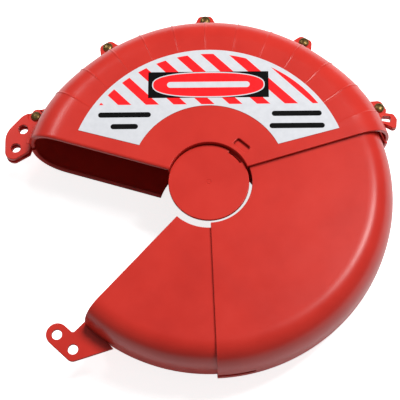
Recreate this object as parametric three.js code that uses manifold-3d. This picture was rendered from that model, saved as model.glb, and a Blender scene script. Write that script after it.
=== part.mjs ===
// Rotating handwheel lockout cover: three nested C-section sectors that turn about one axis.
//
// Millimetres, +Z up. The cover lies on its back. The origin is on the turning axis, in the front
// face of the centre disc, and +Z points out of the labelled front. Angles are counted
// counter-clockwise from +X, looking at the front.

import * as THREE from 'three';
import { mergeVertices } from 'three/addons/utils/BufferGeometryUtils.js';
import Module from 'manifold-3d';

const wasm = await Module();
wasm.setup();

// ---------------------------------------------------------------- driving dimensions

const DEPTH = 88; // overall depth of the fixed sector
const DISC_RECESS = 5; // centre disc's face below the fixed sector's front face
const MID_Z = DISC_RECESS - DEPTH / 2; // parting plane of all three sectors

const FLAT_RADIUS = 153; // where the flat walls end and the rounded rim begins
const RIM_POWER = 2.4; // superellipse exponent of the rim's section
const RIM_STEPS = 8; // chords in a quarter of the rim's section
const TURN_STEPS = 72; // chords in a full turn
const SEAM = 0.15; // half of the seam between front and back halves
const BACK_HUB = 53; // radius of the hub opening in every back wall

// rim: outer radius, half: half of the depth, wall: thickness, hub: radius of the front hub opening
const FIXED = { rim: 187, half: DEPTH / 2, wall: 3, hub: 39.9 };
const MIDDLE = { rim: 181.3, half: 40.2, wall: 2.6, hub: 41.9 };
const INNER = { rim: 177.2, half: 36.6, wall: 2.6, hub: 45.7 };

// End planes of the fixed sector: their slope, and where they cross the line from the axis to +Y
const RIGHT_END = { slope: 16, rise: 2.6 };
const LEFT_END = { slope: 17.6, rise: 0 };
const SPREAD = { from: 37, to: 62, by: 3.3 }; // its rim grows this much, by the angle from its middle
const SECTOR_SPAN = 147; // angle covered by each moving sector
const MIDDLE_LEAD = 271.2; // leading end of the middle sector
const INNER_LEAD = 226.7; // leading end of the inner sector
const LOCKED_LEAD = 161.7; // leading end of the inner sector when it is locked shut

const COLLAR = { outer: 41.4, depth: 9.5 }; // bearing collar round the fixed sector's hub opening
const LEDGE = { inner: 37.6, top: 8.3 }; // ledge inside the collar that carries the disc
const MIDDLE_COLLAR = { outer: 44.4, depth: 5.6 };

const DISC = { radius: 39.1, thick: 3, skirtOuter: 37.3, skirtInner: 35.3, skirtDepth: 6 };
const PRY_NOTCH = { inner: 36, from: 32, to: 57 }; // cut in the disc's edge
const PRY_WINDOW = { inner: 44.3, outer: 52.5, from: 38, to: 56.5, round: 2 };

const SHACKLE_HOLE = 4.95; // radius, for a 9.5 mm padlock shackle
const EAR_HOLES = [[202.2, -13.3], [202.2, 8.2]]; // from the leading end: outwards, then inwards
const EAR_HALF = 1.95; // half the thickness of the inner sector's ear
const CLEVIS_GAP = 2.3; // half the gap between the fixed sector's two ear plates
const CLEVIS_HALF = 6; // half the thickness over both ear plates
const SHOULDER = { reach: 193.4, from: -20.5, to: 0.5, height: 0.8 }; // step at the root of a plate
const EAR_SLOT_HALF = 2.75; // half the height of the rim slots that the ear's root passes through
const MIDDLE_SLOT = 36; // length of the ear slot along the middle sector's rim
const FIXED_SLOT_END = 23.2; // angle where the ear slot at the fixed sector's right end stops

const LUG_HALF = 4; // half the thickness over two riveted lugs
const RIVET_RADIUS = 197.3; // rivet circle
const RIVET_PITCH = 31.3;
const RIVET_HOLE = 2.7;
const RIVET_HEAD = { radius: 5.2, rim: 0.5, dome: 2.4 };
const RIVET_POCKET = 8; // radius cut from the ear plate over the first rivet
const REST = 0.25; // gap under a rivet's head, over its tail and round the disc

const LOOP_ANGLE = 23.5; // tether loop beside the last rivet
const STOP = { from: 5, to: 26, lip: 2.5, rib: 3, play: 0.5 }; // rotation stop on the rim
const MOUTH_LIP = { thick: 5.6, deep: 3 }; // inward bead along the end where the handwheel goes in
const LABEL = {
  centre: 4, outer: 137, inner: 75.3, outerEnd: 21.25, innerEnd: 26.15, thick: 0.3, tilt: -1,
};

const FAR = 300; // beyond every part of the cover
const RED = 0xc8372c;

// ---------------------------------------------------------------- solids

const radians = THREE.MathUtils.degToRad;

function solid(geometry) {
  const source = geometry.clone();
  source.deleteAttribute('normal');
  source.deleteAttribute('uv');
  const merged = mergeVertices(source, 1e-4);
  const points = merged.attributes.position.array;
  const corners = Uint32Array.from(merged.index.array);
  if (signedVolume(points, corners) < 0) {
    for (let i = 0; i < corners.length; i += 3) {
      [corners[i], corners[i + 1]] = [corners[i + 1], corners[i]];
    }
  }
  const mesh = new wasm.Mesh({ numProp: 3, vertProperties: Float32Array.from(points), triVerts: corners });
  return new wasm.Manifold(mesh);
}

function signedVolume(points, corners) {
  const [a, b, c] = [0, 1, 2].map(() => new THREE.Vector3());
  let sum = 0;
  for (let i = 0; i < corners.length; i += 3) {
    a.fromArray(points, corners[i] * 3);
    b.fromArray(points, corners[i + 1] * 3);
    c.fromArray(points, corners[i + 2] * 3);
    sum += a.dot(b.cross(c));
  }
  return sum;
}

// A closed [radius, height] profile turned all the way round Z.
function turned(profile, reshape = (geometry) => geometry) {
  const closed = [...profile, profile[0]].map(([r, z]) => new THREE.Vector2(r, z));
  return solid(reshape(new THREE.LatheGeometry(closed, TURN_STEPS).rotateX(Math.PI / 2)));
}

// A closed profile whose first and last points are on the axis.
function turnedOnAxis(profile, steps) {
  const points = profile.map(([r, z]) => new THREE.Vector2(r, z));
  return solid(new THREE.LatheGeometry(points, steps).rotateX(Math.PI / 2));
}

// An outline in XY raised from z0 to z1.
function slab(shape, z0, z1, curveSegments = 6) {
  const raised = new THREE.ExtrudeGeometry(shape, { depth: z1 - z0, bevelEnabled: false, curveSegments });
  return solid(raised.translate(0, 0, z0));
}

// A closed outline through [x, y, corner radius] points, each corner rounded to its radius.
function roundedShape(corners) {
  const shape = new THREE.Shape();
  corners.forEach(([x, y, radius = 0], i) => {
    const here = new THREE.Vector2(x, y);
    const [before, after] = [corners.at(i - 1), corners[(i + 1) % corners.length]]
      .map(([px, py]) => new THREE.Vector2(px - x, py - y).normalize());
    const half = Math.acos(THREE.MathUtils.clamp(before.dot(after), -1, 1)) / 2;
    const reach = radius / Math.tan(half);
    const start = here.clone().addScaledVector(before, reach);
    const end = here.clone().addScaledVector(after, reach);
    if (i === 0) shape.moveTo(start.x, start.y);
    else shape.lineTo(start.x, start.y);
    if (radius > 0) {
      const centre = before.clone().add(after).setLength(radius / Math.sin(half)).add(here);
      const from = Math.atan2(start.y - centre.y, start.x - centre.x);
      const to = Math.atan2(end.y - centre.y, end.x - centre.x);
      shape.absarc(centre.x, centre.y, radius, from, to, before.cross(after) > 0);
    }
  });
  shape.closePath();
  return shape;
}

function circle(x, y, radius) {
  return new THREE.Shape().absarc(x, y, radius, 0, 2 * Math.PI, false);
}

// The part of the plane between two angles, out to beyond the cover.
function wedge(from, to) {
  const shape = new THREE.Shape().moveTo(0, 0);
  for (let i = 0; i <= 4; i += 1) {
    const angle = radians(from + ((to - from) * i) / 4);
    shape.lineTo(FAR * Math.cos(angle), FAR * Math.sin(angle));
  }
  return shape.closePath();
}

// A ring-shaped outline between two radii and two angles.
function arcBand(inner, outer, from, to) {
  const shape = new THREE.Shape();
  shape.absarc(0, 0, outer, radians(from), radians(to), false);
  shape.absarc(0, 0, inner, radians(to), radians(from), true);
  return shape.closePath();
}

function rectangle(x0, x1, y0, y1) {
  return roundedShape([[x0, y0], [x1, y0], [x1, y1], [x0, y1]]);
}

function joined(first, ...others) {
  return others.reduce((whole, other) => whole.add(other), first);
}

function cut(whole, ...others) {
  return others.reduce((rest, other) => rest.subtract(other), whole);
}

function about(body, degrees) {
  return body.rotate([0, 0, degrees]);
}

function mirroredDown(body) {
  return body.mirror([0, 0, 1]);
}

function finish(body) {
  const { vertProperties, triVerts } = body.getMesh();
  const geometry = new THREE.BufferGeometry();
  geometry.setAttribute('position', new THREE.BufferAttribute(vertProperties, 3));
  geometry.setIndex(new THREE.BufferAttribute(triVerts, 1));
  geometry.computeVertexNormals();
  return geometry;
}

// ---------------------------------------------------------------- section of a sector

// Quarter of a rim's section, from the edge of the flat wall to the widest point.
function rimQuarter(rim, half) {
  return Array.from({ length: RIM_STEPS + 1 }, (_, i) => {
    const t = (i / RIM_STEPS) * (Math.PI / 2);
    return [
      FLAT_RADIUS + (rim - FLAT_RADIUS) * Math.sin(t) ** (2 / RIM_POWER),
      i === RIM_STEPS ? SEAM : half * Math.cos(t) ** (2 / RIM_POWER),
    ];
  });
}

// Wall of one half of a sector: hubSide holds the points round the hub opening, inside to outside.
function halfWall({ rim, half, wall }, hubSide, reshape) {
  const outside = rimQuarter(rim, half);
  const inside = rimQuarter(rim - wall, half - wall).reverse();
  return turned([...hubSide, ...outside, ...inside], reshape);
}

// Moves the fixed sector's rim outwards near its two ends.
function spread(geometry) {
  const { position } = geometry.attributes;
  for (let i = 0; i < position.count; i += 1) {
    const [x, y] = [position.getX(i), position.getY(i)];
    const radius = Math.hypot(x, y);
    const fromMiddle = Math.abs(90 - THREE.MathUtils.radToDeg(Math.atan2(y, x)));
    const along = THREE.MathUtils.clamp((radius - FLAT_RADIUS) / (FIXED.rim - FLAT_RADIUS), 0, 1);
    const grown = radius + along * SPREAD.by * THREE.MathUtils.smoothstep(fromMiddle, SPREAD.from, SPREAD.to);
    if (along > 0) position.setXY(i, (x * grown) / radius, (y * grown) / radius);
  }
  return geometry;
}

function plainHub({ half, wall }, radius) {
  return [[radius, half - wall], [radius, half]];
}

function fixedHub({ half, wall, hub }) {
  const foot = half - COLLAR.depth;
  const ledgeTop = half - LEDGE.top;
  return [
    [COLLAR.outer, half - wall], [COLLAR.outer, foot], [LEDGE.inner, foot],
    [LEDGE.inner, ledgeTop], [hub, ledgeTop], [hub, half - 0.5], [hub + 0.5, half],
  ];
}

function middleHub({ half, wall, hub }) {
  const foot = half - MIDDLE_COLLAR.depth;
  return [[MIDDLE_COLLAR.outer, half - wall], [MIDDLE_COLLAR.outer, foot], [hub, foot], [hub, half]];
}

// A slab of space beside an end plane of the fixed sector, between two distances above the plane.
function besideRightEnd(low, high) {
  const space = slab(rectangle(-FAR, FAR, low, high), -FAR, FAR);
  return about(space, RIGHT_END.slope).translate([0, RIGHT_END.rise, 0]);
}

function besideLeftEnd(low, high) {
  const space = slab(rectangle(-FAR, FAR, low, high), -FAR, FAR);
  return about(space, -LEFT_END.slope).translate([0, LEFT_END.rise, 0]);
}

function fixedSpan() {
  return besideRightEnd(0, FAR).intersect(besideLeftEnd(0, FAR));
}

function movingSpan() {
  return slab(wedge(0, SECTOR_SPAN), -FAR, FAR);
}

// ---------------------------------------------------------------- fixed sector

const RIVET_ANGLES = [2, 1, 0, -1, -2].map((i) => 90 + i * RIVET_PITCH);

// Rounded lug on the rim, on the +X axis.
function lugShape() {
  return roundedShape([[184.5, -15.2], [203.2, -6.6, 5.5], [203.2, 6.6, 5.5], [184.5, 15.2]]);
}

// One plate of the fixed sector's double ear, in the frame of the locked leading end.
function clevisShape() {
  return roundedShape([
    [181, -47.3], [207.5, -28.8, 16], [218.3, -4, 22], [208.5, 22.5, 8.5], [199, 20.5, 6], [180, -1],
  ]);
}

function loopShape() {
  const shape = roundedShape([
    [184, 17.5], [207.3, 1.5, 3], [208, -5, 4], [203, -13.2, 2], [199.4, -12.4, 2],
    [194, -5, 1.5], [189, -1.5, 1], [184, -1],
  ]);
  shape.holes.push(roundedShape([[191.8, 6.4, 1.4], [191.8, 0.6, 1.4], [200.4, -5.6, 1.4], [203, 0.4, 1.4]]));
  return shape;
}

function insideRim(shell, reshape) {
  const radius = shell.rim - shell.wall / 2;
  return turned([[0, -FAR], [radius, -FAR], [radius, FAR], [0, FAR]], reshape);
}

// Ring on the rim between two heights: the raised material of a rotation stop.
function stopBand(outside, inside) {
  const within = ([, z]) => z > STOP.from && z < STOP.to;
  const outer = rimQuarter(outside.rim, outside.half).filter(within);
  const inner = rimQuarter(inside.rim, inside.half).filter(within).reverse();
  return turned([...outer, ...inner]);
}

function mouthLip(hubRadius) {
  const shell = { ...FIXED, wall: MOUTH_LIP.thick };
  const leftSide = slab(rectangle(-FAR, 0, 0, FAR), 0, FAR);
  const strip = besideLeftEnd(0, MOUTH_LIP.deep).intersect(leftSide);
  return halfWall(shell, plainHub(shell, hubRadius), spread).intersect(strip);
}

// Everything of the fixed sector above the parting plane.
function fixedHalf(hubSide, lipRadius) {
  const lug = slab(lugShape(), SEAM, LUG_HALF);
  const lugs = RIVET_ANGLES.map((angle) => about(lug, angle));
  const shoulderShape = rectangle(181, SHOULDER.reach, SHOULDER.from, SHOULDER.to);
  const shoulder = about(slab(shoulderShape, SEAM, CLEVIS_HALF + SHOULDER.height), LOCKED_LEAD);
  const clevis = about(slab(clevisShape(), SEAM, CLEVIS_HALF, 8), LOCKED_LEAD);
  const loop = about(slab(loopShape(), SEAM, LUG_HALF), LOOP_ANGLE);
  const outsideParts = cut(joined(clevis, shoulder, loop, ...lugs), insideRim(FIXED, spread));

  const ribShell = { rim: MIDDLE.rim + 0.6, half: MIDDLE.half + 0.7 };
  const rootShell = { rim: FIXED.rim - 1, half: FIXED.half - 1 };
  const ribEnd = MIDDLE_LEAD + SECTOR_SPAN - 360 - STOP.lip - STOP.play;
  const rib = stopBand(rootShell, ribShell).intersect(slab(wedge(ribEnd - STOP.rib, ribEnd), 0, FAR));

  const gapOutside = about(slab(rectangle(190.5, 225, -26, 45), -1, CLEVIS_GAP), LOCKED_LEAD);
  const gapInRim = about(slab(rectangle(170, 193, -5.5, 45), -1, EAR_SLOT_HALF), LOCKED_LEAD);
  const slotRight = slab(arcBand(170, 194, 0, FIXED_SLOT_END), -1, EAR_SLOT_HALF);
  const holes = EAR_HOLES.map(([x, y]) => about(slab(circle(x, y, SHACKLE_HOLE), -1, 9, 10), LOCKED_LEAD));
  const rivetHole = slab(circle(RIVET_RADIUS, 0, RIVET_HOLE), -1, 9, 8);
  const rivetHoles = RIVET_ANGLES.map((angle) => about(rivetHole, angle));
  const pocketSpace = slab(circle(RIVET_RADIUS, 0, RIVET_POCKET), LUG_HALF, 9, 10);
  const pocket = cut(about(pocketSpace, RIVET_ANGLES[0]), insideRim({ ...FIXED, wall: -0.4 }, spread));

  const walls = joined(halfWall(FIXED, hubSide, spread), mouthLip(lipRadius)).intersect(fixedSpan());
  const shell = joined(walls, outsideParts, rib);
  return cut(shell, gapOutside, gapInRim, slotRight, pocket, ...holes, ...rivetHoles);
}

function pryWindow() {
  const middle = (PRY_WINDOW.inner + PRY_WINDOW.outer) / 2;
  const halfLong = middle * Math.sin(radians(PRY_WINDOW.to - PRY_WINDOW.from) / 2);
  const corners = [
    [PRY_WINDOW.inner, -halfLong], [PRY_WINDOW.outer, -halfLong],
    [PRY_WINDOW.outer, halfLong], [PRY_WINDOW.inner, halfLong],
  ].map(([x, y]) => [x, y, PRY_WINDOW.round]);
  return about(slab(roundedShape(corners), 39, 46, 4), (PRY_WINDOW.from + PRY_WINDOW.to) / 2);
}

function fixedFront() {
  return cut(fixedHalf(fixedHub(FIXED), COLLAR.outer - 0.5), pryWindow());
}

function fixedBack() {
  return mirroredDown(fixedHalf(plainHub(FIXED, BACK_HUB), BACK_HUB + 1));
}

// Brass rivet through two lugs: domed head, shank and hollow rolled tail.
function rivet() {
  const under = LUG_HALF + REST;
  const { radius, rim, dome } = RIVET_HEAD;
  const head = [0, 1, 2, 3].map((i) => {
    const t = (i / 3) * (Math.PI / 2);
    return [radius * Math.sin(t), under + rim + dome * Math.cos(t)];
  });
  return turnedOnAxis([
    ...head, [radius, under], [2.4, under], [2.4, -under], [3.7, -under],
    [3.5, -under - 1], [2.2, -under - 1.3], [1.3, -under - 0.6], [1.3, -under + 1], [0, -under + 1],
  ], 16);
}

function centreDisc() {
  const { radius, thick, skirtOuter, skirtInner, skirtDepth } = DISC;
  const plate = turnedOnAxis([
    [0, -thick], [skirtInner, -thick], [skirtInner, -skirtDepth], [skirtOuter, -skirtDepth],
    [skirtOuter, -thick], [radius, -thick], [radius, -0.4], [radius - 0.4, 0], [0, 0],
  ], TURN_STEPS);
  return cut(plate, slab(arcBand(PRY_NOTCH.inner, 42, PRY_NOTCH.from, PRY_NOTCH.to), -8, 2, 8));
}

function label() {
  const { centre, outer, inner, outerEnd, innerEnd, thick } = LABEL;
  const shape = new THREE.Shape();
  shape.absarc(0, centre, outer, radians(outerEnd), radians(180 - outerEnd), false);
  shape.absarc(0, centre, inner, radians(180 - innerEnd), radians(innerEnd), true);
  shape.closePath();
  const top = FIXED.half + 0.1;
  return slab(shape, top, top + thick, 24);
}

// ---------------------------------------------------------------- moving sectors
// Each is drawn with its leading end on +X, and turned to its place by its group.

function middleHalf(hubSide) {
  const shell = halfWall(MIDDLE, hubSide).intersect(movingSpan());
  const lipShell = { rim: FIXED.rim - FIXED.wall - 0.8, half: FIXED.half - FIXED.wall - 0.3 };
  const rootShell = { rim: MIDDLE.rim - 1, half: MIDDLE.half - 1 };
  const lipSpan = slab(wedge(SECTOR_SPAN - STOP.lip, SECTOR_SPAN), 0, FAR);
  const lip = stopBand(lipShell, rootShell).intersect(lipSpan);
  const earSlot = slab(rectangle(165, 190, -5, MIDDLE_SLOT), -1, EAR_SLOT_HALF);
  return cut(joined(shell, lip), earSlot);
}

// Padlock ear on the leading end: one lobe beyond the end, the other beside the rim.
function earShape() {
  const shape = roundedShape([
    [212.6, -24.1, 10.6], [212.6, 15.2, 7], [176, 36], [172, -2.4], [190.8, -3, 2.5],
    [190.8, -24.1, 10.6],
  ]);
  EAR_HOLES.forEach(([x, y]) => shape.holes.push(circle(x, y, SHACKLE_HOLE)));
  return shape;
}

function innerHalf(hubSide) {
  const shell = halfWall(INNER, hubSide).intersect(movingSpan());
  const ear = cut(slab(earShape(), SEAM, EAR_HALF, 8), insideRim(INNER));
  return joined(shell, ear);
}

// ---------------------------------------------------------------- scene graph

function part(name, body, color, roughness, metalness = 0) {
  const mesh = new THREE.Mesh(finish(body), new THREE.MeshStandardMaterial({ color, roughness, metalness }));
  mesh.name = name;
  return mesh;
}

function sectorGroup(lead, ...meshes) {
  const group = new THREE.Group();
  group.rotation.z = radians(lead);
  group.add(...meshes);
  return group;
}

const fixed = new THREE.Group();
fixed.add(
  part('outer_front_shell', fixedFront(), RED, 0.38),
  part('outer_back_shell', fixedBack(), RED, 0.38),
);

const warning = part('safety_label', label(), 0xe6e6ea, 0.3);
warning.rotation.z = radians(LABEL.tilt);
fixed.add(warning);

const disc = part('centre_disc', centreDisc(), RED, 0.4);
disc.position.z = FIXED.half - DISC_RECESS;
fixed.add(disc);

RIVET_ANGLES.forEach((angle, i) => {
  const mesh = part(`brass_rivet_${i + 1}`, rivet(), 0x8a6a34, 0.35, 1);
  mesh.position.set(RIVET_RADIUS * Math.cos(radians(angle)), RIVET_RADIUS * Math.sin(radians(angle)), 0);
  fixed.add(mesh);
});

const middle = sectorGroup(
  MIDDLE_LEAD,
  part('middle_front_shell', middleHalf(middleHub(MIDDLE)), RED, 0.38),
  part('middle_back_shell', mirroredDown(middleHalf(plainHub(MIDDLE, BACK_HUB))), RED, 0.38),
);

const inner = sectorGroup(
  INNER_LEAD,
  part('inner_front_shell', innerHalf(plainHub(INNER, INNER.hub)), RED, 0.38),
  part('inner_back_shell', mirroredDown(innerHalf(plainHub(INNER, BACK_HUB))), RED, 0.38),
);

const cover = new THREE.Group();
cover.position.z = MID_Z;
cover.add(fixed, middle, inner);

export default cover;
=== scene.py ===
"""Looks of the rotating handwheel lockout cover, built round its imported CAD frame.

Lengths are in millimetres until a mesh is made, heights are above the parting plane of the three
sectors, and angles are counter-clockwise from +X, seen from the labelled front.
"""

from math import acos, asin, atan2, copysign, cos, degrees, hypot, pi, radians, sin, sqrt, tan

import bmesh
import bpy
from mathutils import Matrix, Vector


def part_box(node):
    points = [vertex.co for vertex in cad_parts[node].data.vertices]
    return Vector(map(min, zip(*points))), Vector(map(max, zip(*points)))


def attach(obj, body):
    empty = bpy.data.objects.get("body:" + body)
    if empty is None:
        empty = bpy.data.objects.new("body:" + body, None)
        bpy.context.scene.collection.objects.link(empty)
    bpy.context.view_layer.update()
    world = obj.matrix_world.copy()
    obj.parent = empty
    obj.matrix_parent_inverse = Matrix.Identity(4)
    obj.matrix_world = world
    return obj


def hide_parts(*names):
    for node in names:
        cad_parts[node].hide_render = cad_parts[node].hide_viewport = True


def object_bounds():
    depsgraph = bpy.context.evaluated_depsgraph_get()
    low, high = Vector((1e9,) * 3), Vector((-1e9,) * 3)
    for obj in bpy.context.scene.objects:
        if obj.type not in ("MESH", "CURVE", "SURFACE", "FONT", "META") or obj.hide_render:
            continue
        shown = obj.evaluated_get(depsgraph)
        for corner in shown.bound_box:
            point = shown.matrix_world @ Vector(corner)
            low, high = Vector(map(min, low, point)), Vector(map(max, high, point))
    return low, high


MM = 0.001

# ---------------------------------------------------------------- driving dimensions, as in the CAD

FLAT_RADIUS = 153  # where the flat walls end and the rounded rim begins
RIM_POWER = 2.4  # superellipse exponent of the rim's section
SEAM = 0.15  # half of the seam between front and back halves
BACK_HUB = 53  # radius of the hub opening in every back wall
FIXED = {"rim": 187, "half": 44, "wall": 3.0, "hub": 39.9}
MIDDLE = {"rim": 181.3, "half": 40.2, "wall": 2.6, "hub": 41.9}
INNER = {"rim": 177.2, "half": 36.6, "wall": 2.6, "hub": 45.7}

# End planes of the fixed sector: their slope, and where they cross the line from the axis to +Y
RIGHT_END = {"slope": 16, "rise": 2.6}
LEFT_END = {"slope": 17.6, "rise": 0}
SPREAD = {"from": 37, "to": 62, "by": 3.3}  # growth of its rim, by the angle from its middle
SECTOR_SPAN = 147  # angle covered by each moving sector
MIDDLE_LEAD = 271.2  # leading end of the middle sector
INNER_LEAD = 226.7
LOCKED_LEAD = 161.7  # leading end of the inner sector when it is locked shut

COLLAR = {"outer": 41.4, "depth": 9.5}  # bearing collar round the fixed sector's hub opening
LEDGE = {"inner": 37.6, "top": 8.3}  # ledge inside the collar that carries the disc
MIDDLE_COLLAR = {"outer": 44.4, "depth": 5.6}
MOUTH_LIP = {"thick": 5.6, "deep": 3, "nose": 2.7}  # inward bead along the mouth; nose: its rounding
DISC = {"radius": 39.1, "thick": 3, "skirt_outer": 37.3, "skirt_inner": 35.3, "skirt_depth": 6}
PRY_NOTCH = {"inner": 36, "from": 32, "to": 57}
PRY_WINDOW = {"inner": 44.3, "outer": 52.5, "from": 38, "to": 56.5, "round": 2}

SHACKLE_HOLE = 4.95
EAR_HOLES = ((202.2, -13.3), (202.2, 8.2))  # from the leading end: outwards, then inwards
EAR_HALF = 1.95
CLEVIS_GAP = 2.3  # half the gap between the fixed sector's two ear plates
CLEVIS_HALF = 6
SHOULDER = {"reach": 193.4, "from": -20.5, "to": 0.5, "height": 0.8}  # step at an ear plate's root
EAR_SLOT_HALF = 2.75  # half the height of the rim slots that the ear's root passes through
MIDDLE_SLOT = 36  # length of the ear slot along the middle sector's rim
FIXED_SLOT_END = 23.2

LUG_HALF = 4
RIVET_RADIUS = 197.3  # rivet circle
RIVET_PITCH = 31.3
RIVET_HOLE = 2.7
RIVET_HEAD = {"radius": 5.2, "rim": 0.5, "dome": 2.4}
RIVET_POCKET = 8  # radius cut from the ear plate over the first rivet
RIVET_ANGLES = [90 + RIVET_PITCH * i for i in (2, 1, 0, -1, -2)]
REST = 0.25  # gap under a rivet's head and over its tail
LOOP_ANGLE = 23.5  # tether loop beside the last rivet
LABEL = {"centre": 4, "outer": 137, "inner": 75.3, "outer_end": 21.25, "inner_end": 26.15, "tilt": -1}

# ---------------------------------------------------------------- dimensions of the finer detail

RIM_STEPS = 26  # chords in a quarter of the rim's section
WALL_EDGE = 0.6  # rounding of a wall's ends
SEAM_EDGE = 0.5  # rounding of a wall at the seam
STOP_LIP = {"from": 6, "to": 25, "span": 2.5}  # heights on the rim, and angle, of the stop's lip
END_FLANGE = {"inner": 182, "outer": 195, "from": 19.2, "to": 25, "low": 3.1, "high": 4.7}
RIBS = {"pitch": 11, "each_side": 6, "start": 149, "width": 1.3, "height": 0.5}
SLOT_PLAY = 0.6  # added to the middle sector's ear slot, past the root of the ear
SHARP_ANGLE = 32  # edges at least this sharp stay sharp in the shading

FAR = 300  # beyond every part of the cover

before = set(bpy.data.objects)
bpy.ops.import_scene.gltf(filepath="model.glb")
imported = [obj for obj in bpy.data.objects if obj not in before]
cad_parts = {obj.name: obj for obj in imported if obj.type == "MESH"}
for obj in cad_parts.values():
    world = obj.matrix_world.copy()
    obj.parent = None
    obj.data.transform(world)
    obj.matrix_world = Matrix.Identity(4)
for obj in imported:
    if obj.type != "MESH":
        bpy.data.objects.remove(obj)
cad_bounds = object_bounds()
label_low, label_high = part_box("safety_label")
_, disc_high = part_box("centre_disc")
back_low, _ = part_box("outer_back_shell")
MID_Z = back_low.z / MM + FIXED["half"]  # parting plane


# ---------------------------------------------------------------- outlines

def rounded(corners, arc_step=9):
    """Points of a closed outline through (x, y, corner radius) corners."""
    points = []
    for i, corner in enumerate(corners):
        here = Vector(corner[:2])
        radius = corner[2] if len(corner) > 2 else 0
        if not radius:
            points.append(here)
            continue
        before = (Vector(corners[i - 1][:2]) - here).normalized()
        after = (Vector(corners[(i + 1) % len(corners)][:2]) - here).normalized()
        half = acos(max(-1, min(1, before.dot(after)))) / 2
        centre = here + (before + after).normalized() * radius / sin(half)
        first = here + before * radius / tan(half) - centre
        turn = (pi - 2 * half) * (1 if before.cross(after) < 0 else -1)
        steps = max(2, round(degrees(abs(turn)) / arc_step))
        for k in range(steps + 1):
            points.append(centre + Matrix.Rotation(turn * k / steps, 2) @ first)
    return points


def circle(x, y, radius, steps=48):
    return [Vector((x + radius * cos(2 * pi * k / steps), y + radius * sin(2 * pi * k / steps)))
            for k in range(steps)]


def arc(radius, start, end, steps, centre=(0, 0)):
    return [Vector((centre[0] + radius * cos(radians(start + (end - start) * k / steps)),
                    centre[1] + radius * sin(radians(start + (end - start) * k / steps))))
            for k in range(steps + 1)]


def rectangle(x0, x1, y0, y1):
    return [Vector(p) for p in ((x0, y0), (x1, y0), (x1, y1), (x0, y1))]


def centred_rectangle(x, y, width, height):
    return rectangle(x - width / 2, x + width / 2, y - height / 2, y + height / 2)


def turned_by(points, angle):
    return [Matrix.Rotation(radians(angle), 2) @ p for p in points]


def area(points):
    """Positive when the outline runs counter-clockwise."""
    return sum(a.cross(b) for a, b in zip(points, points[1:] + points[:1])) / 2


def counter_clockwise(outline):
    return outline if area(outline) >= 0 else outline[::-1]


def inset(points, distance):
    """The outline moved inwards by distance, or outwards when it is negative."""
    moved = []
    for i, here in enumerate(points):
        before = (here - points[i - 1]).normalized()
        after = (points[(i + 1) % len(points)] - here).normalized()
        across = (before + after).normalized()
        inward = Vector((-across.y, across.x))
        miter = max(0.4, sqrt((1 + before.dot(after)) / 2))  # at least 0.4, so that no spike grows
        moved.append(here + inward * distance / miter)
    return moved


# ---------------------------------------------------------------- meshes

def new_object(name, vertices, faces):
    """A mesh object in the row frame from points in mm above the parting plane."""
    mesh = bpy.data.meshes.new(name)
    mesh.from_pydata([(x * MM, y * MM, (z + MID_Z) * MM) for x, y, z in vertices], [], faces)
    obj = bpy.data.objects.new(name, mesh)
    bpy.context.scene.collection.objects.link(obj)
    build = bmesh.new()
    build.from_mesh(mesh)
    bmesh.ops.remove_doubles(build, verts=build.verts, dist=1e-7)
    bmesh.ops.recalc_face_normals(build, faces=build.faces)
    build.to_mesh(mesh)
    build.free()
    return obj


def stack(name, layers):
    """A closed body through a list of (outline, height), with a flat cap at each end."""
    count = len(layers[0][0])
    vertices = [(p[0], p[1], z) for outline, z in layers for p in outline]
    faces = [tuple(reversed(range(count))), tuple(range((len(layers) - 1) * count, len(vertices)))]
    for i in range(len(layers) - 1):
        for k in range(count):
            a, b = i * count + k, i * count + (k + 1) % count
            faces.append((a, b, b + count, a + count))
    return new_object(name, vertices, faces)


def nose(distance, radius):
    """How far a surface has drawn in at this distance from a rounded edge."""
    if distance >= radius:
        return 0
    return radius - sqrt(max(0, radius * radius - (radius - distance) ** 2))


def edge_depths(edge, steps):
    """Distances below a face, closest together where its rounded edge is steepest."""
    return [edge * (1 - cos(pi / 2 * k / steps)) for k in range(steps + 1)]


def plate(name, outline, low, high, edge, steps=4):
    """A flat plate with rounded edges."""
    outline = counter_clockwise(outline)
    depths = edge_depths(edge, steps)
    layers = [(inset(outline, nose(d, edge)), low + d) for d in depths]
    layers += [(inset(outline, nose(d, edge)), high - d) for d in reversed(depths)]
    return stack(name, layers)


def cutter(name, outline, low, high, flare):
    """A tool for an opening between two faces, whose mouths come out rounded."""
    beyond = 4
    outline = counter_clockwise(outline)
    depths = edge_depths(flare, 3)
    layers = [(inset(outline, -flare), low - beyond)]
    layers += [(inset(outline, -nose(d, flare)), low + d) for d in depths]
    layers += [(inset(outline, -nose(d, flare)), high - d) for d in reversed(depths)]
    layers += [(inset(outline, -flare), high + beyond)]
    return stack(name, layers)


def block(name, outline, low, high):
    outline = counter_clockwise(outline)
    return stack(name, [(outline, low), (outline, high)])


def lathe(name, profile, steps):
    """A profile of (radius, height) whose ends are on the axis, turned about it."""
    inner = profile[1:-1]
    vertices = [(0, 0, profile[0][1]), (0, 0, profile[-1][1])]
    for k in range(steps):
        c, s = cos(2 * pi * k / steps), sin(2 * pi * k / steps)
        vertices += [(r * c, r * s, z) for r, z in inner]
    count = len(inner)
    faces = []
    for k in range(steps):
        a, b = 2 + k * count, 2 + (k + 1) % steps * count
        faces.append((0, a, b))
        faces.append((1, b + count - 1, a + count - 1))
        faces += [(a + i, a + i + 1, b + i + 1, b + i) for i in range(count - 1)]
    return new_object(name, vertices, faces)


def mirrored_down(obj):
    """Turns a front half into a back half, through the parting plane."""
    obj.data.transform(Matrix.Translation((0, 0, 2 * MID_Z * MM)) @ Matrix.Scale(-1, 4, (0, 0, 1)))
    obj.data.flip_normals()
    return obj


def turned(obj, angle):
    obj.data.transform(Matrix.Rotation(radians(angle), 4, "Z"))
    return obj


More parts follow.
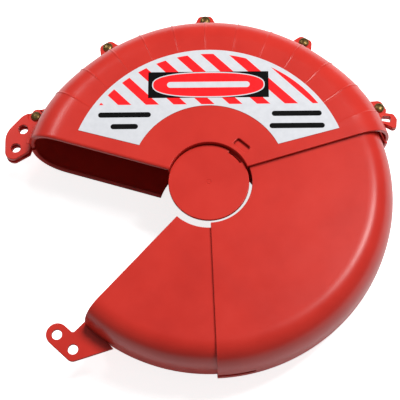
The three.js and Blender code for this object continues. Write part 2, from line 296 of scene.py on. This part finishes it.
def combined(body, tools, operation):
    """The body after each tool in turn is added to it, cut from it, or used to trim it."""
    for tool in tools:
        step = body.modifiers.new("combine", "BOOLEAN")
        step.operation = operation
        step.solver = "MANIFOLD"
        step.object = tool
        depsgraph = bpy.context.evaluated_depsgraph_get()
        mesh = bpy.data.meshes.new_from_object(body.evaluated_get(depsgraph))
        body.modifiers.clear()
        body.data = mesh
        bpy.data.objects.remove(tool)
    return body


def smooth(obj):
    """Smooth shading that keeps flat faces flat and real edges sharp."""
    mesh = obj.data
    mesh.polygons.foreach_set("use_smooth", [True] * len(mesh.polygons))
    mesh.set_sharp_from_angle(angle=radians(SHARP_ANGLE))
    weighted = obj.modifiers.new("weighted normals", "WEIGHTED_NORMAL")
    weighted.keep_sharp = True
    weighted.weight = 60
    depsgraph = bpy.context.evaluated_depsgraph_get()
    obj.data = bpy.data.meshes.new_from_object(obj.evaluated_get(depsgraph))
    obj.modifiers.clear()
    return obj


# ---------------------------------------------------------------- walls of a sector

def clamped(value):
    return min(1, max(0, value))


def eased(value):
    """A smooth step from 0 to 1."""
    share = clamped(value)
    return share * share * (3 - 2 * share)


def rim_point(rim, half, t):
    """A point of the rounded rim's section, t from 0 at the flat wall to 1 at the parting plane."""
    angle = t * pi / 2
    return (FLAT_RADIUS + (rim - FLAT_RADIUS) * sin(angle) ** (2 / RIM_POWER),
            half * max(0, cos(angle)) ** (2 / RIM_POWER))


def spread(radius, angle):
    """The fixed sector's rim grows slightly towards its two ends."""
    along = clamped((radius - FLAT_RADIUS) / (FIXED["rim"] - FLAT_RADIUS))
    towards_end = (abs(90 - angle) - SPREAD["from"]) / (SPREAD["to"] - SPREAD["from"])
    return radius + along * SPREAD["by"] * eased(towards_end)


def wall_pairs(shell, hub_pairs):
    """Matched outside and inside points of half a sector's wall, from its hub to its seam."""
    hub = hub_pairs[-1][0][0]
    flat = [hub + (FLAT_RADIUS - hub) * k / 6 for k in range(1, 6)]
    inner_rim, inner_half = shell["rim"] - shell["wall"], shell["half"] - shell["wall"]
    pairs = hub_pairs + [((r, shell["half"]), (r, inner_half)) for r in flat]
    for k in range(RIM_STEPS):
        t = k / RIM_STEPS
        pairs.append((rim_point(shell["rim"], shell["half"], t), rim_point(inner_rim, inner_half, t)))
    for height in (SEAM_EDGE, SEAM_EDGE * 0.6, SEAM_EDGE * 0.25, 0):
        draw = nose(height, SEAM_EDGE)
        pairs.append(((shell["rim"] - draw, SEAM + height), (inner_rim + draw, SEAM + height)))
    return pairs


def hub_edge(radius, shell):
    """Rounded edge of a plain hub opening."""
    top, bottom = shell["half"], shell["half"] - shell["wall"]
    return [((radius + d, top - nose(d, WALL_EDGE)), (radius + d, bottom + nose(d, WALL_EDGE)))
            for d in (0, WALL_EDGE * 0.25, WALL_EDGE * 0.6, WALL_EDGE)]


def fixed_hub(shell):
    """Hub opening with the bearing collar and the ledge that carries the disc, its corners rounded."""
    top, hub, outer = shell["half"], shell["hub"], COLLAR["outer"]
    foot, ledge, bottom = top - COLLAR["depth"], top - LEDGE["top"], top - shell["wall"]
    lip = LEDGE["inner"]
    return [
        ((lip, ledge - 0.3), (lip, foot + 0.3)), ((lip + 0.3, ledge), (lip + 0.3, foot)),
        ((hub - 0.2, ledge), (outer - 0.4, foot)), ((hub, ledge + 0.2), (outer, foot + 0.4)),
        ((hub, top - 0.9), (outer, bottom - 0.8)), ((hub + 0.15, top - 0.4), (outer + 0.2, bottom - 0.3)),
        ((hub + 0.45, top - 0.1), (outer + 0.5, bottom - 0.06)), ((hub + 0.9, top), (outer + 0.9, bottom)),
    ]


def middle_hub(shell):
    """Hub opening with a short collar, its corners rounded."""
    top, hub, outer = shell["half"], shell["hub"], MIDDLE_COLLAR["outer"]
    foot, bottom = top - MIDDLE_COLLAR["depth"], top - shell["wall"]
    return [
        ((hub + 0.4, foot), (outer - 0.4, foot)), ((hub, foot + 0.4), (outer, foot + 0.4)),
        ((hub, top - 0.7), (outer, bottom - 0.5)), ((hub + 0.2, top - 0.2), (outer + 0.2, bottom - 0.15)),
        ((hub + 0.7, top), (outer + 0.6, bottom)),
    ]


def rib_height(radius, angle):
    """Height of the fixed sector's faint radial ribs."""
    nearest = (angle - 90) / RIBS["pitch"]
    if abs(round(nearest)) > RIBS["each_side"]:
        return 0
    across = abs(nearest - round(nearest)) * radians(RIBS["pitch"]) * radius
    along = clamped((radius - RIBS["start"]) / 3)
    return RIBS["height"] * along * max(0, 1 - (across / RIBS["width"]) ** 2) ** 2


def raised(radius, height, angle):
    """A point of the fixed sector's outside, lifted square to the surface by the ribs."""
    lift = rib_height(radius, angle)
    lean = clamped((radius - FLAT_RADIUS) / 30)
    return radius + lift * lean, height + lift * min(1, height / 40)


def middle_angles(first, last, ribbed):
    """Angles of a wall's sections between its two ends, closer together across each rib."""
    margin = 8  # the sections near the ends have angles of their own
    angles = list(range(int(first) + margin + 1, int(last) - margin + 1, 2))
    if ribbed:
        half_rib = degrees(RIBS["width"] / FIXED["rim"])
        centres = [90 + RIBS["pitch"] * k for k in range(-RIBS["each_side"], RIBS["each_side"] + 1)]
        fine = [c + half_rib * f for c in centres for f in (-1.2, -0.8, -0.4, 0, 0.4, 0.8, 1.2)]
        coarse = [a for a in angles if min(abs(a - f) for f in fine) > 0.6]
        angles = sorted(fine + coarse)
    return [a for a in angles if first + margin < a < last - margin]


def end_shape(thick, depth, lip, beaded):
    """How much thicker the wall is at this depth from its end, and how far its faces draw together."""
    if not lip:
        return 0, min(nose(depth, WALL_EDGE), thick / 2 - 0.02)
    bead = lip["thick"] - FIXED["wall"] if beaded else 0
    extra = bead * eased((lip["deep"] - depth) / (lip["deep"] - lip["nose"]))
    radius = min(lip["nose"], (thick + extra) / 2 - 0.05)
    return extra, nose(depth * radius / lip["nose"], radius)


def wall_section(pair, depth, lip):
    """The outside and inside point of a pair, drawn in by a rounded end or the lip's bead."""
    (ro, zo), (ri, zi) = pair
    thick = hypot(ri - ro, zi - zo)
    r_in, z_in = (ri - ro) / thick, (zi - zo) / thick
    beaded = thick < FIXED["wall"] + 1 and ri > COLLAR["outer"] + 0.6  # not on the collar
    extra, draw = end_shape(thick, depth, lip, beaded)
    return (ro + r_in * draw, zo + z_in * draw), (ri + r_in * (extra - draw), zi + z_in * (extra - draw))


def wall(name, pairs, first, last, rises=(0, 0), lip=None, fixed=False):
    """Half a sector's wall between two end planes, which pass the axis at two heights, rises.

    lip thickens the wall inwards along the last end plane. fixed adds what only the fixed
    sector's wall has: its ribs and its spread rim.
    """
    near = [WALL_EDGE * f for f in (0, 0.1, 0.3, 0.6, 1)]
    far = near
    if lip:
        far = [lip["nose"] * f for f in (0, 0.04, 0.15, 0.33, 0.6, 1)]
        far += [(lip["nose"] + lip["deep"]) / 2, lip["deep"]]
    shifts = rises[0] * cos(radians(first)), rises[1] * cos(radians(180 - last))
    middle = middle_angles(first, last, fixed)

    def stations(radius):
        """(angle, distance from the nearer end plane, the lip when it is there)"""
        start = [(first + degrees(asin((d + shifts[0]) / radius)), d, None) for d in near]
        finish = [(last - degrees(asin((d + shifts[1]) / radius)), d, lip) for d in reversed(far)]
        into = [(start[-1][0] + (middle[0] - start[-1][0]) * k / 4, FAR, None) for k in (1, 2, 3)]
        out = [(middle[-1] + (finish[0][0] - middle[-1]) * k / 4, FAR, None) for k in (1, 2, 3)]
        return start + into + [(a, FAR, None) for a in middle] + out + finish

    vertices, grids = [], []
    for side in (0, 1):
        grid = []
        for pair in pairs:
            row = []
            for angle, depth, lip_there in stations(pair[side][0]):
                r, z = wall_section(pair, depth, lip_there)[side]
                if fixed and side == 0:
                    r, z = raised(r, z, angle)
                if fixed:
                    r = spread(r, angle)
                row.append(len(vertices))
                vertices.append((r * cos(radians(angle)), r * sin(radians(angle)), z))
            grid.append(row)
        grids.append(grid)
    return new_object(name, vertices, shell_faces(*grids))


def shell_faces(outer, inner):
    """Faces that close the space between two grids of vertices."""
    rows, columns = len(outer), len(outer[0])
    faces = []
    for i in range(rows - 1):
        for k in range(columns - 1):
            faces.append((outer[i][k], outer[i + 1][k], outer[i + 1][k + 1], outer[i][k + 1]))
            faces.append((inner[i][k], inner[i][k + 1], inner[i + 1][k + 1], inner[i + 1][k]))
        for k, turn in ((0, 1), (columns - 1, -1)):
            faces.append((outer[i][k], inner[i][k], inner[i + 1][k], outer[i + 1][k])[::turn])
    for k in range(columns - 1):
        for i, turn in ((0, -1), (rows - 1, 1)):
            faces.append((outer[i][k], inner[i][k], inner[i][k + 1], outer[i][k + 1])[::turn])
    return faces


# ---------------------------------------------------------------- fixed sector

def lug_outline():
    """Drawn about the +X axis, as every outline on the rim is, and turned to its place."""
    return rounded([(182, -18), (186, -14.5, 3), (203.2, -6.6, 5.5), (203.2, 6.6, 5.5), (186, 14.5, 3),
                    (182, 18)])


def clevis_outline():
    return rounded([(181, -47.3), (207.5, -28.8, 16), (218.3, -4, 22), (208.5, 22.5, 8.5), (199, 20.5, 6),
                    (180, -1)], 6)


def loop_outline():
    return rounded([(183, 18.3), (207.3, 1.5, 3), (208, -5, 4), (203, -13.2, 2), (199.4, -12.4, 2),
                    (194, -5, 1.5), (189, -1.5, 1), (184, -1)])


def loop_slot():
    return rounded([(191.8, 6.4, 1.4), (191.8, 0.6, 1.4), (200.4, -5.6, 1.4), (203, 0.4, 1.4)])


def inside_rim(shell, depth, grown=False):
    """The space within a rim, up to a depth below its outer face."""
    outline = circle(0, 0, shell["rim"] - depth, 180)
    if grown:
        angles = [degrees(atan2(p.y, p.x)) for p in outline]
        outline = [p * spread(p.length, a) / p.length for p, a in zip(outline, angles)]
    return block("core", outline, -60, 60)


def outside_of_cavity(piece, shell, grown=False):
    """Keeps a plate that is rooted in the rim out of the cavity behind it."""
    return combined(piece, [inside_rim(shell, shell["wall"] * 0.6, grown)], "DIFFERENCE")


def pry_window():
    centre = (PRY_WINDOW["inner"] + PRY_WINDOW["outer"]) / 2
    half_long = centre * sin(radians(PRY_WINDOW["to"] - PRY_WINDOW["from"]) / 2)
    inner, outer, corner = PRY_WINDOW["inner"], PRY_WINDOW["outer"], PRY_WINDOW["round"]
    outline = rounded([(*p, corner) for p in rectangle(inner, outer, -half_long, half_long)])
    outline = turned_by(outline, (PRY_WINDOW["from"] + PRY_WINDOW["to"]) / 2)
    top = FIXED["half"]
    return cutter("window", outline, top - FIXED["wall"], top, flare=0.9)


def fixed_rim_pieces(front):
    """The ear plate with its shoulder, the tether loop and the rivet lugs, and the back's flange."""
    clevis = turned(plate("clevis", clevis_outline(), SEAM, CLEVIS_HALF, 0.9), LOCKED_LEAD)
    root = rectangle(181, SHOULDER["reach"], SHOULDER["from"], SHOULDER["to"])
    shoulder = turned(plate("shoulder", root, SEAM, CLEVIS_HALF + SHOULDER["height"], 0.5), LOCKED_LEAD)
    loop = turned(plate("loop", loop_outline(), SEAM, LUG_HALF, 0.8), LOOP_ANGLE)
    slot = turned(cutter("slot", loop_slot(), SEAM, LUG_HALF, 0.5), LOOP_ANGLE)
    pieces = [clevis, shoulder, combined(loop, [slot], "DIFFERENCE")]
    pieces += [turned(plate("lug", lug_outline(), SEAM, LUG_HALF, 0.7), a) for a in RIVET_ANGLES]
    if not front:
        edges = END_FLANGE["from"], END_FLANGE["to"]
        outline = arc(END_FLANGE["outer"], *edges, 8) + arc(END_FLANGE["inner"], *edges[::-1], 8)
        pieces.append(plate("flange", outline, END_FLANGE["low"], END_FLANGE["high"], 0.5))
    return [outside_of_cavity(piece, FIXED, True) for piece in pieces]


def rivet_pocket():
    """Room over the first rivet's head, in the ear plate but not in the rim."""
    pocket = cutter("pocket", circle(RIVET_RADIUS, 0, RIVET_POCKET), LUG_HALF, CLEVIS_HALF, 0.5)
    lid = block("lid", circle(RIVET_RADIUS, 0, RIVET_POCKET * 1.5), -LUG_HALF, LUG_HALF)
    pocket = turned(combined(pocket, [lid], "DIFFERENCE"), RIVET_ANGLES[0])
    return combined(pocket, [inside_rim(FIXED, -0.2, True)], "DIFFERENCE")


def fixed_half(name, hub_pairs, front):
    shell = wall(name, wall_pairs(FIXED, hub_pairs), RIGHT_END["slope"], 180 - LEFT_END["slope"],
                 (RIGHT_END["rise"], LEFT_END["rise"]), MOUTH_LIP, fixed=True)
    shell = combined(shell, fixed_rim_pieces(front), "UNION")

    slot_right = arc(194, 0, FIXED_SLOT_END, 12) + arc(170, FIXED_SLOT_END, 0, 12)
    tools = [
        turned(block("gap", rectangle(190.5, 225, -26, 45), -1, CLEVIS_GAP), LOCKED_LEAD),
        turned(block("gap", rectangle(170, 193, -5.5, 45), -1, EAR_SLOT_HALF), LOCKED_LEAD),
        block("slot", slot_right, -1, EAR_SLOT_HALF),
    ]
    for x, y in EAR_HOLES:
        hole = cutter("hole", circle(x, y, SHACKLE_HOLE), CLEVIS_GAP, CLEVIS_HALF, 0.6)
        tools.append(turned(hole, LOCKED_LEAD))
    for angle in RIVET_ANGLES:
        hole = cutter("hole", circle(RIVET_RADIUS, 0, RIVET_HOLE, 24), -2, LUG_HALF, 0.3)
        tools.append(turned(hole, angle))
    tools.append(rivet_pocket())
    if front:
        tools.append(pry_window())
    return combined(shell, tools, "DIFFERENCE")


def build_fixed_sector(plastic):
    front = fixed_half("outer_cover_front", fixed_hub(FIXED), True)
    back = mirrored_down(fixed_half("outer_cover_back", hub_edge(BACK_HUB, FIXED), False))
    for obj, node in ((front, "outer_front_shell"), (back, "outer_back_shell")):
        finish_piece(obj, "fixed_sector", node, plastic)


# ---------------------------------------------------------------- centre disc and rivets

def build_disc(plastic):
    """Recessed centre disc with a gate mark, a stiffening skirt and a pry notch in its edge."""
    top = disc_high.z / MM - MID_Z
    radius, foot = DISC["radius"], top - DISC["thick"]
    inside, outside, depth = DISC["skirt_inner"], DISC["skirt_outer"], DISC["skirt_depth"]
    round_edge = 0.8
    gate_mark = [(0, top), (1.6, top), (1.9, top - 0.25), (2.6, top - 0.25), (2.9, top)]
    edge = [(radius - round_edge * (1 - sin(a)), top - round_edge * (1 - cos(a)))
            for a in (pi / 8 * k for k in range(5))]
    skirt = [(outside, foot), (outside, top - depth + 0.3), (outside - 0.3, top - depth),
             (inside + 0.3, top - depth), (inside, top - depth + 0.3), (inside, foot)]
    profile = gate_mark + edge + [(radius, foot + 0.3), (radius - 0.3, foot)] + skirt + [(0, foot)]
    disc = lathe("centre_plug", profile, 180)
    ends = PRY_NOTCH["from"], PRY_NOTCH["to"]
    notch_outline = arc(44, *ends, 12) + arc(PRY_NOTCH["inner"], *ends[::-1], 12)
    notch = cutter("notch", notch_outline, top - depth - 2, top, 0.5)
    disc = combined(disc, [notch], "DIFFERENCE")
    finish_piece(disc, "centre_disc", "centre_disc", plastic)


def build_rivets(brass):
    """Domed brass rivets with a rolled tail."""
    under = LUG_HALF + REST
    head, lift = RIVET_HEAD["radius"], under + RIVET_HEAD["rim"]
    dome = [(head * sin(a), lift + RIVET_HEAD["dome"] * cos(a)) for a in (pi / 16 * k for k in range(9))]
    tail = [(head, under + 0.15), (head - 0.15, under), (2.4, under), (2.4, -under), (3.5, -under),
            (3.72, -under - 0.4), (3.5, -under - 1), (2.9, -under - 1.3), (2.2, -under - 1.2),
            (1.5, -under - 0.7), (1.3, -under + 1), (0, -under + 1)]
    for i, angle in enumerate(RIVET_ANGLES, 1):
        rivet = lathe("rivet", dome + tail, 40)
        rivet.data.transform(Matrix.Rotation(0.7 * i, 4, "Z"))
        rivet.data.transform(Matrix.Translation((RIVET_RADIUS * MM, 0, 0)))
        rivet.name = f"rivet_{i}"
        finish_piece(turned(rivet, angle), "fixed_sector", f"brass_rivet_{i}", brass)


# ---------------------------------------------------------------- moving sectors

def stop_lip():
    """Raised band on the middle sector's trailing end, which meets a rib inside the fixed sector."""
    rim, half = FIXED["rim"] - FIXED["wall"] - 0.8, FIXED["half"] - FIXED["wall"] - 0.3
    outside = [rim_point(rim, half, t / 20) for t in range(21)]
    inside = [rim_point(MIDDLE["rim"] - 1, MIDDLE["half"] - 1, t / 20) for t in range(21)]
    section = [p for p in outside + inside[::-1] if STOP_LIP["from"] < p[1] < STOP_LIP["to"]]
    angles = [SECTOR_SPAN - STOP_LIP["span"] + STOP_LIP["span"] * k / 5 for k in range(6)]
    vertices, count = [], len(section)
    for angle in angles:
        vertices += [(r * cos(radians(angle)), r * sin(radians(angle)), z) for r, z in section]
    faces = [tuple(range(count)), tuple(range(len(vertices) - count, len(vertices)))]
    for i in range(len(angles) - 1):
        for k in range(count):
            a, b = i * count + k, i * count + (k + 1) % count
            faces.append((a, b, b + count, a + count))
    return new_object("stop_lip", vertices, faces)


def middle_half(name, hub_pairs):
    shell = wall(name, wall_pairs(MIDDLE, hub_pairs), 0, SECTOR_SPAN)
    slot = block("slot", rectangle(165, 190, -5, MIDDLE_SLOT + SLOT_PLAY), -1, EAR_SLOT_HALF)
    return combined(combined(shell, [stop_lip()], "UNION"), [slot], "DIFFERENCE")


def ear_outline():
    return rounded([(212.6, -24.1, 10.6), (212.6, 15.2, 7), (176, 36), (172, -2.4), (190.8, -3, 2.5),
                    (190.8, -24.1, 10.6)])


def inner_half(name, hub_pairs):
    shell = wall(name, wall_pairs(INNER, hub_pairs), 0, SECTOR_SPAN)
    ear = outside_of_cavity(plate("ear", ear_outline(), SEAM, EAR_HALF, 0.6), INNER)
    holes = [cutter("hole", circle(x, y, SHACKLE_HOLE), -2, EAR_HALF, 0.5) for x, y in EAR_HOLES]
    return combined(combined(shell, [ear], "UNION"), holes, "DIFFERENCE")


def build_moving_sectors(plastic):
    makers = (
        ("middle", middle_half, MIDDLE, middle_hub(MIDDLE), MIDDLE_LEAD),
        ("inner", inner_half, INNER, hub_edge(INNER["hub"], INNER), INNER_LEAD),
    )
    for sector, make, shell, front_hub, lead in makers:
        front = turned(make(f"{sector}_cover_front", front_hub), lead)
        back = turned(mirrored_down(make(f"{sector}_cover_back", hub_edge(BACK_HUB, shell))), lead)
        finish_piece(front, f"{sector}_sector", f"{sector}_front_shell", plastic)
        finish_piece(back, f"{sector}_sector", f"{sector}_back_shell", plastic)


# ---------------------------------------------------------------- label

STRIPES = {"pitch": 27.4, "width": 13, "offset": -2.1, "foot": 80.5, "margin": 4.6}
PANEL = {"y": 102, "width": 119.5, "height": 28.6}
OVAL = {"half_width": 54.8, "half_height": 12.9, "line": 1.1, "power": 2.5}
# centre, width and height of each bar that stands for a line of text
BARS = [(-82.6, 69.6, 52, 5.6), (-82.6, 57, 27, 5.6), (86.6, 69.8, 49, 5.6), (86.6, 56.6, 54, 5.6)]
INK = 0.03  # thickness of one layer of ink


def annular_sector():
    """The label's outline."""
    centre = (0, LABEL["centre"])
    start, end = LABEL["outer_end"], LABEL["inner_end"]
    return (arc(LABEL["outer"], start, 180 - start, 120, centre)
            + arc(LABEL["inner"], 180 - end, end, 90, centre))


def printed_field():
    """Outline of the striped field: the label less a margin, above a straight foot."""
    outer = LABEL["outer"] - STRIPES["margin"]
    start = degrees(asin((STRIPES["foot"] - LABEL["centre"]) / outer))
    return arc(outer, start, 180 - start, 120, (0, LABEL["centre"]))


def bar(x, y, width, height):
    corner = height / 2 - 0.01
    return rounded([(*p, corner) for p in centred_rectangle(x, y, width, height)], 15)


def oval(grow):
    """Superellipse on the panel, grown outwards."""
    power = 2 / OVAL["power"]
    points = []
    for k in range(96):
        a = 2 * pi * k / 96
        x = copysign((OVAL["half_width"] + grow) * abs(cos(a)) ** power, cos(a))
        y = copysign((OVAL["half_height"] + grow) * abs(sin(a)) ** power, sin(a))
        points.append(Vector((x, PANEL["y"] + y)))
    return points


def stripe_outline(k):
    """Outline of the k-th slanted stripe, longer than the printed field is high."""
    low, high, half = 60, 150, STRIPES["width"] / 2
    middle = STRIPES["offset"] + STRIPES["pitch"] * k
    return [Vector(p) for p in ((middle - half - low, low), (middle + half - low, low),
                                (middle + half - high, high), (middle - half - high, high))]


def build_label(film, red_ink, black_ink):
    """Printed label: hazard stripes, a plain oval on a dark panel, and bars in place of the words."""
    base, top = label_low.z / MM - MID_Z, label_high.z / MM - MID_Z
    sheet = plate("label_film", annular_sector(), base, top, 0.1, 2)

    def printed(name, outline, level):
        """Ink that stands proud of the sheet by its level, so that no two layers share a face."""
        return block(name, outline, top - 0.05, top + INK * level)

    def trimmer(name, outline):
        return block(name, outline, top - 1, top + 1)

    field = trimmer("field", printed_field())
    clear = trimmer("clear", centred_rectangle(0, PANEL["y"], PANEL["width"] - 1, PANEL["height"] - 1))
    hub = trimmer("hub", circle(0, LABEL["centre"], LABEL["inner"] + 0.5, 120))
    stripes = joined("label_stripes", [printed("stripe", stripe_outline(k), 1) for k in range(-3, 10)])
    stripes = combined(combined(stripes, [field], "INTERSECT"), [clear, hub], "DIFFERENCE")
    panel = centred_rectangle(0, PANEL["y"], PANEL["width"], PANEL["height"])
    pieces = [
        (sheet, film),
        (stripes, red_ink),
        (printed("label_panel", panel, 1), black_ink),
        (printed("label_oval_line", oval(OVAL["line"]), 2), film),
        (printed("label_oval", oval(0), 3), red_ink),
        (printed("label_oval_bar", bar(0, PANEL["y"], 82, 6.4), 4), film),
        (joined("label_bars", [printed("bar", bar(*b), 1) for b in BARS]), black_ink),
    ]
    for obj, material in pieces:
        turned(obj, LABEL["tilt"])
        finish_piece(obj, "fixed_sector", "safety_label" if obj is sheet else None, material)


def joined(name, objects):
    """One object from several that don't touch."""
    build = bmesh.new()
    for obj in objects:
        build.from_mesh(obj.data)
        bpy.data.objects.remove(obj)
    mesh = bpy.data.meshes.new(name)
    build.to_mesh(mesh)
    build.free()
    obj = bpy.data.objects.new(name, mesh)
    bpy.context.scene.collection.objects.link(obj)
    return obj


# ---------------------------------------------------------------- materials

def new_material(name):
    material = bpy.data.materials.new(name)
    material.use_nodes = True
    nodes, links = material.node_tree.nodes, material.node_tree.links
    return material, nodes, links, nodes["Principled BSDF"]


def noise(nodes, links, coordinates, scale, detail, roughness):
    node = nodes.new("ShaderNodeTexNoise")
    node.inputs["Scale"].default_value = scale
    node.inputs["Detail"].default_value = detail
    node.inputs["Roughness"].default_value = roughness
    links.new(coordinates.outputs["Object"], node.inputs["Vector"])
    return node


def ramp(nodes, links, source, stops):
    node = nodes.new("ShaderNodeValToRGB")
    elements = node.color_ramp.elements
    while len(elements) < len(stops):
        elements.new(0.5)
    for element, (position, colour) in zip(elements, stops):
        element.position = position
        element.color = (*colour, 1)
    links.new(source, node.inputs["Fac"])
    return node


def remap(nodes, links, source, low, high):
    node = nodes.new("ShaderNodeMapRange")
    node.inputs["To Min"].default_value = low
    node.inputs["To Max"].default_value = high
    links.new(source, node.inputs["Value"])
    return node


def bump(nodes, links, source, strength, distance, below=None):
    node = nodes.new("ShaderNodeBump")
    node.inputs["Strength"].default_value = strength
    node.inputs["Distance"].default_value = distance
    links.new(source, node.inputs["Height"])
    if below:
        links.new(below.outputs["Normal"], node.inputs["Normal"])
    return node


def moulded_plastic():
    """Semi-gloss red polypropylene with a fine moulded grain and slight flow marks."""
    material, nodes, links, shader = new_material("red_moulded_plastic")
    place = nodes.new("ShaderNodeTexCoord")
    flow = noise(nodes, links, place, 14, 4, 0.6)
    colour = ramp(nodes, links, flow.outputs["Fac"],
                  [(0.3, (0.50, 0.022, 0.014)), (0.55, (0.56, 0.028, 0.018)), (0.8, (0.60, 0.034, 0.022))])
    links.new(colour.outputs["Color"], shader.inputs["Base Color"])
    grain = noise(nodes, links, place, 900, 2, 0.6)
    smudge = noise(nodes, links, place, 45, 5, 0.65)
    gloss = remap(nodes, links, smudge.outputs["Fac"], 0.24, 0.36)
    links.new(gloss.outputs["Result"], shader.inputs["Roughness"])
    texture = bump(nodes, links, grain.outputs["Fac"], 0.12, 0.0002)
    waves = noise(nodes, links, place, 9, 2, 0.5)
    sink = bump(nodes, links, waves.outputs["Fac"], 0.25, 0.002, texture)
    links.new(sink.outputs["Normal"], shader.inputs["Normal"])
    shader.inputs["IOR"].default_value = 1.5
    shader.inputs["Specular IOR Level"].default_value = 0.5
    return material


def aged_brass():
    material, nodes, links, shader = new_material("aged_brass")
    place = nodes.new("ShaderNodeTexCoord")
    patina = noise(nodes, links, place, 420, 5, 0.65)
    colour = ramp(nodes, links, patina.outputs["Fac"],
                  [(0.3, (0.13, 0.075, 0.025)), (0.5, (0.30, 0.19, 0.065)), (0.72, (0.50, 0.34, 0.13))])
    links.new(colour.outputs["Color"], shader.inputs["Base Color"])
    gloss = remap(nodes, links, patina.outputs["Fac"], 0.5, 0.26)
    links.new(gloss.outputs["Result"], shader.inputs["Roughness"])
    dents = bump(nodes, links, patina.outputs["Fac"], 0.3, 0.0002)
    links.new(dents.outputs["Normal"], shader.inputs["Normal"])
    shader.inputs["Metallic"].default_value = 1
    return material


def printed_film(name, light, dark, roughness, shine=0.5):
    """Self-adhesive film or the ink on it, with a slight orange peel."""
    material, nodes, links, shader = new_material(name)
    place = nodes.new("ShaderNodeTexCoord")
    mottle = noise(nodes, links, place, 160, 4, 0.6)
    colour = ramp(nodes, links, mottle.outputs["Fac"], [(0.35, dark), (0.7, light)])
    links.new(colour.outputs["Color"], shader.inputs["Base Color"])
    shader.inputs["Specular IOR Level"].default_value = shine
    peel = noise(nodes, links, place, 330, 2, 0.5)
    gloss = remap(nodes, links, peel.outputs["Fac"], roughness - 0.05, roughness + 0.06)
    links.new(gloss.outputs["Result"], shader.inputs["Roughness"])
    ripple = bump(nodes, links, peel.outputs["Fac"], 0.08, 0.0002)
    links.new(ripple.outputs["Normal"], shader.inputs["Normal"])
    return material


def floor_material():
    """A white sweep that glows for the camera alone, so that the shadows on it stay light."""
    material, nodes, links, shader = new_material("pale_floor")
    place = nodes.new("ShaderNodeTexCoord")
    tone = noise(nodes, links, place, 3, 3, 0.5)
    colour = ramp(nodes, links, tone.outputs["Fac"], [(0.3, (0.86, 0.86, 0.86)), (0.7, (0.9, 0.9, 0.9))])
    links.new(colour.outputs["Color"], shader.inputs["Base Color"])
    shader.inputs["Roughness"].default_value = 0.9
    shader.inputs["Specular IOR Level"].default_value = 0.1
    glow = nodes.new("ShaderNodeEmission")
    glow.inputs["Strength"].default_value = 0.8
    rays = nodes.new("ShaderNodeLightPath")
    both = nodes.new("ShaderNodeAddShader")
    choice = nodes.new("ShaderNodeMixShader")
    links.new(shader.outputs["BSDF"], both.inputs[0])
    links.new(glow.outputs["Emission"], both.inputs[1])
    links.new(rays.outputs["Is Camera Ray"], choice.inputs["Fac"])
    links.new(shader.outputs["BSDF"], choice.inputs[1])
    links.new(both.outputs["Shader"], choice.inputs[2])
    links.new(choice.outputs["Shader"], nodes["Material Output"].inputs["Surface"])
    return material


def finish_piece(obj, body, node, material):
    """Shading, material and place in the assembly."""
    smooth(obj)
    obj.data.materials.clear()
    obj.data.materials.append(material)
    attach(obj, body)
    if node:
        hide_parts(node)


# ---------------------------------------------------------------- camera, floor and light

CAMERA = {"elevation": 68.81, "azimuth": 1.7, "distance": 1096, "target": (-8.8, -20.45, 5), "roll": -2.97,
          "lens": 103.35}


def build_camera():
    """Long lens above the front of the cover, tilted slightly to one side."""
    data = bpy.data.cameras.new("camera")
    data.lens = CAMERA["lens"]
    data.sensor_width = 36
    data.clip_end = 20
    camera = bpy.data.objects.new("camera", data)
    bpy.context.scene.collection.objects.link(camera)
    tilt = Matrix.Rotation(radians(90 - CAMERA["elevation"]), 4, "X")
    turn = Matrix.Rotation(radians(CAMERA["azimuth"]), 4, "Z")
    roll = Matrix.Rotation(radians(CAMERA["roll"]), 4, "Z")
    back = Matrix.Translation((0, 0, CAMERA["distance"] * MM))
    camera.matrix_world = Matrix.Translation(Vector(CAMERA["target"]) * MM) @ turn @ tilt @ back @ roll
    bpy.context.scene.camera = camera


def build_floor():
    mesh = bpy.data.meshes.new("floor")
    size, z = 6, cad_bounds[0][2] - 0.0005
    corners = [(-size, -size, z), (size, -size, z), (size, size, z), (-size, size, z)]
    mesh.from_pydata(corners, [], [(0, 1, 2, 3)])
    floor = bpy.data.objects.new("floor", mesh)
    bpy.context.scene.collection.objects.link(floor)
    mesh.materials.append(floor_material())


def softbox(name, place, target, size, power, in_gloss=True):
    """A soft light; in_gloss says whether it also shows as a highlight."""
    data = bpy.data.lights.new(name, "AREA")
    data.shape = "RECTANGLE"
    data.size, data.size_y = size
    data.energy = power
    light = bpy.data.objects.new(name, data)
    light.location = place
    light.rotation_euler = (Vector(target) - Vector(place)).to_track_quat("-Z", "Y").to_euler()
    light.visible_glossy = in_gloss
    bpy.context.scene.collection.objects.link(light)


def build_light():
    softbox("key", (0.45, 1.0, 1.9), (0, 0, 0), (0.8, 0.6), 42, in_gloss=False)
    softbox("right_strip", (0.92, 0.4, 1.75), (0.16, -0.04, 0), (0.2, 0.6), 13)
    softbox("left_strip", (-0.85, 1.1, 1.5), (-0.14, 0.08, 0), (0.22, 0.3), 4)
    world = bpy.data.worlds.new("studio")
    bpy.context.scene.world = world
    world.use_nodes = True
    background = world.node_tree.nodes["Background"]
    background.inputs["Color"].default_value = (1, 1, 1, 1)
    background.inputs["Strength"].default_value = 0.16
    bpy.context.scene.view_settings.view_transform = "Standard"


# ---------------------------------------------------------------- the scene

plastic = moulded_plastic()
film = printed_film("white_film", (0.64, 0.65, 0.68), (0.59, 0.60, 0.63), 0.4)
red_ink = printed_film("red_ink", (0.95, 0.012, 0.016), (0.88, 0.008, 0.012), 0.3)
black_ink = printed_film("black_ink", (0.004, 0.004, 0.004), (0.002, 0.002, 0.002), 0.55, 0.12)
build_camera()
build_fixed_sector(plastic)
build_disc(plastic)
build_rivets(aged_brass())
build_moving_sectors(plastic)
build_label(film, red_ink, black_ink)
build_floor()
build_light()
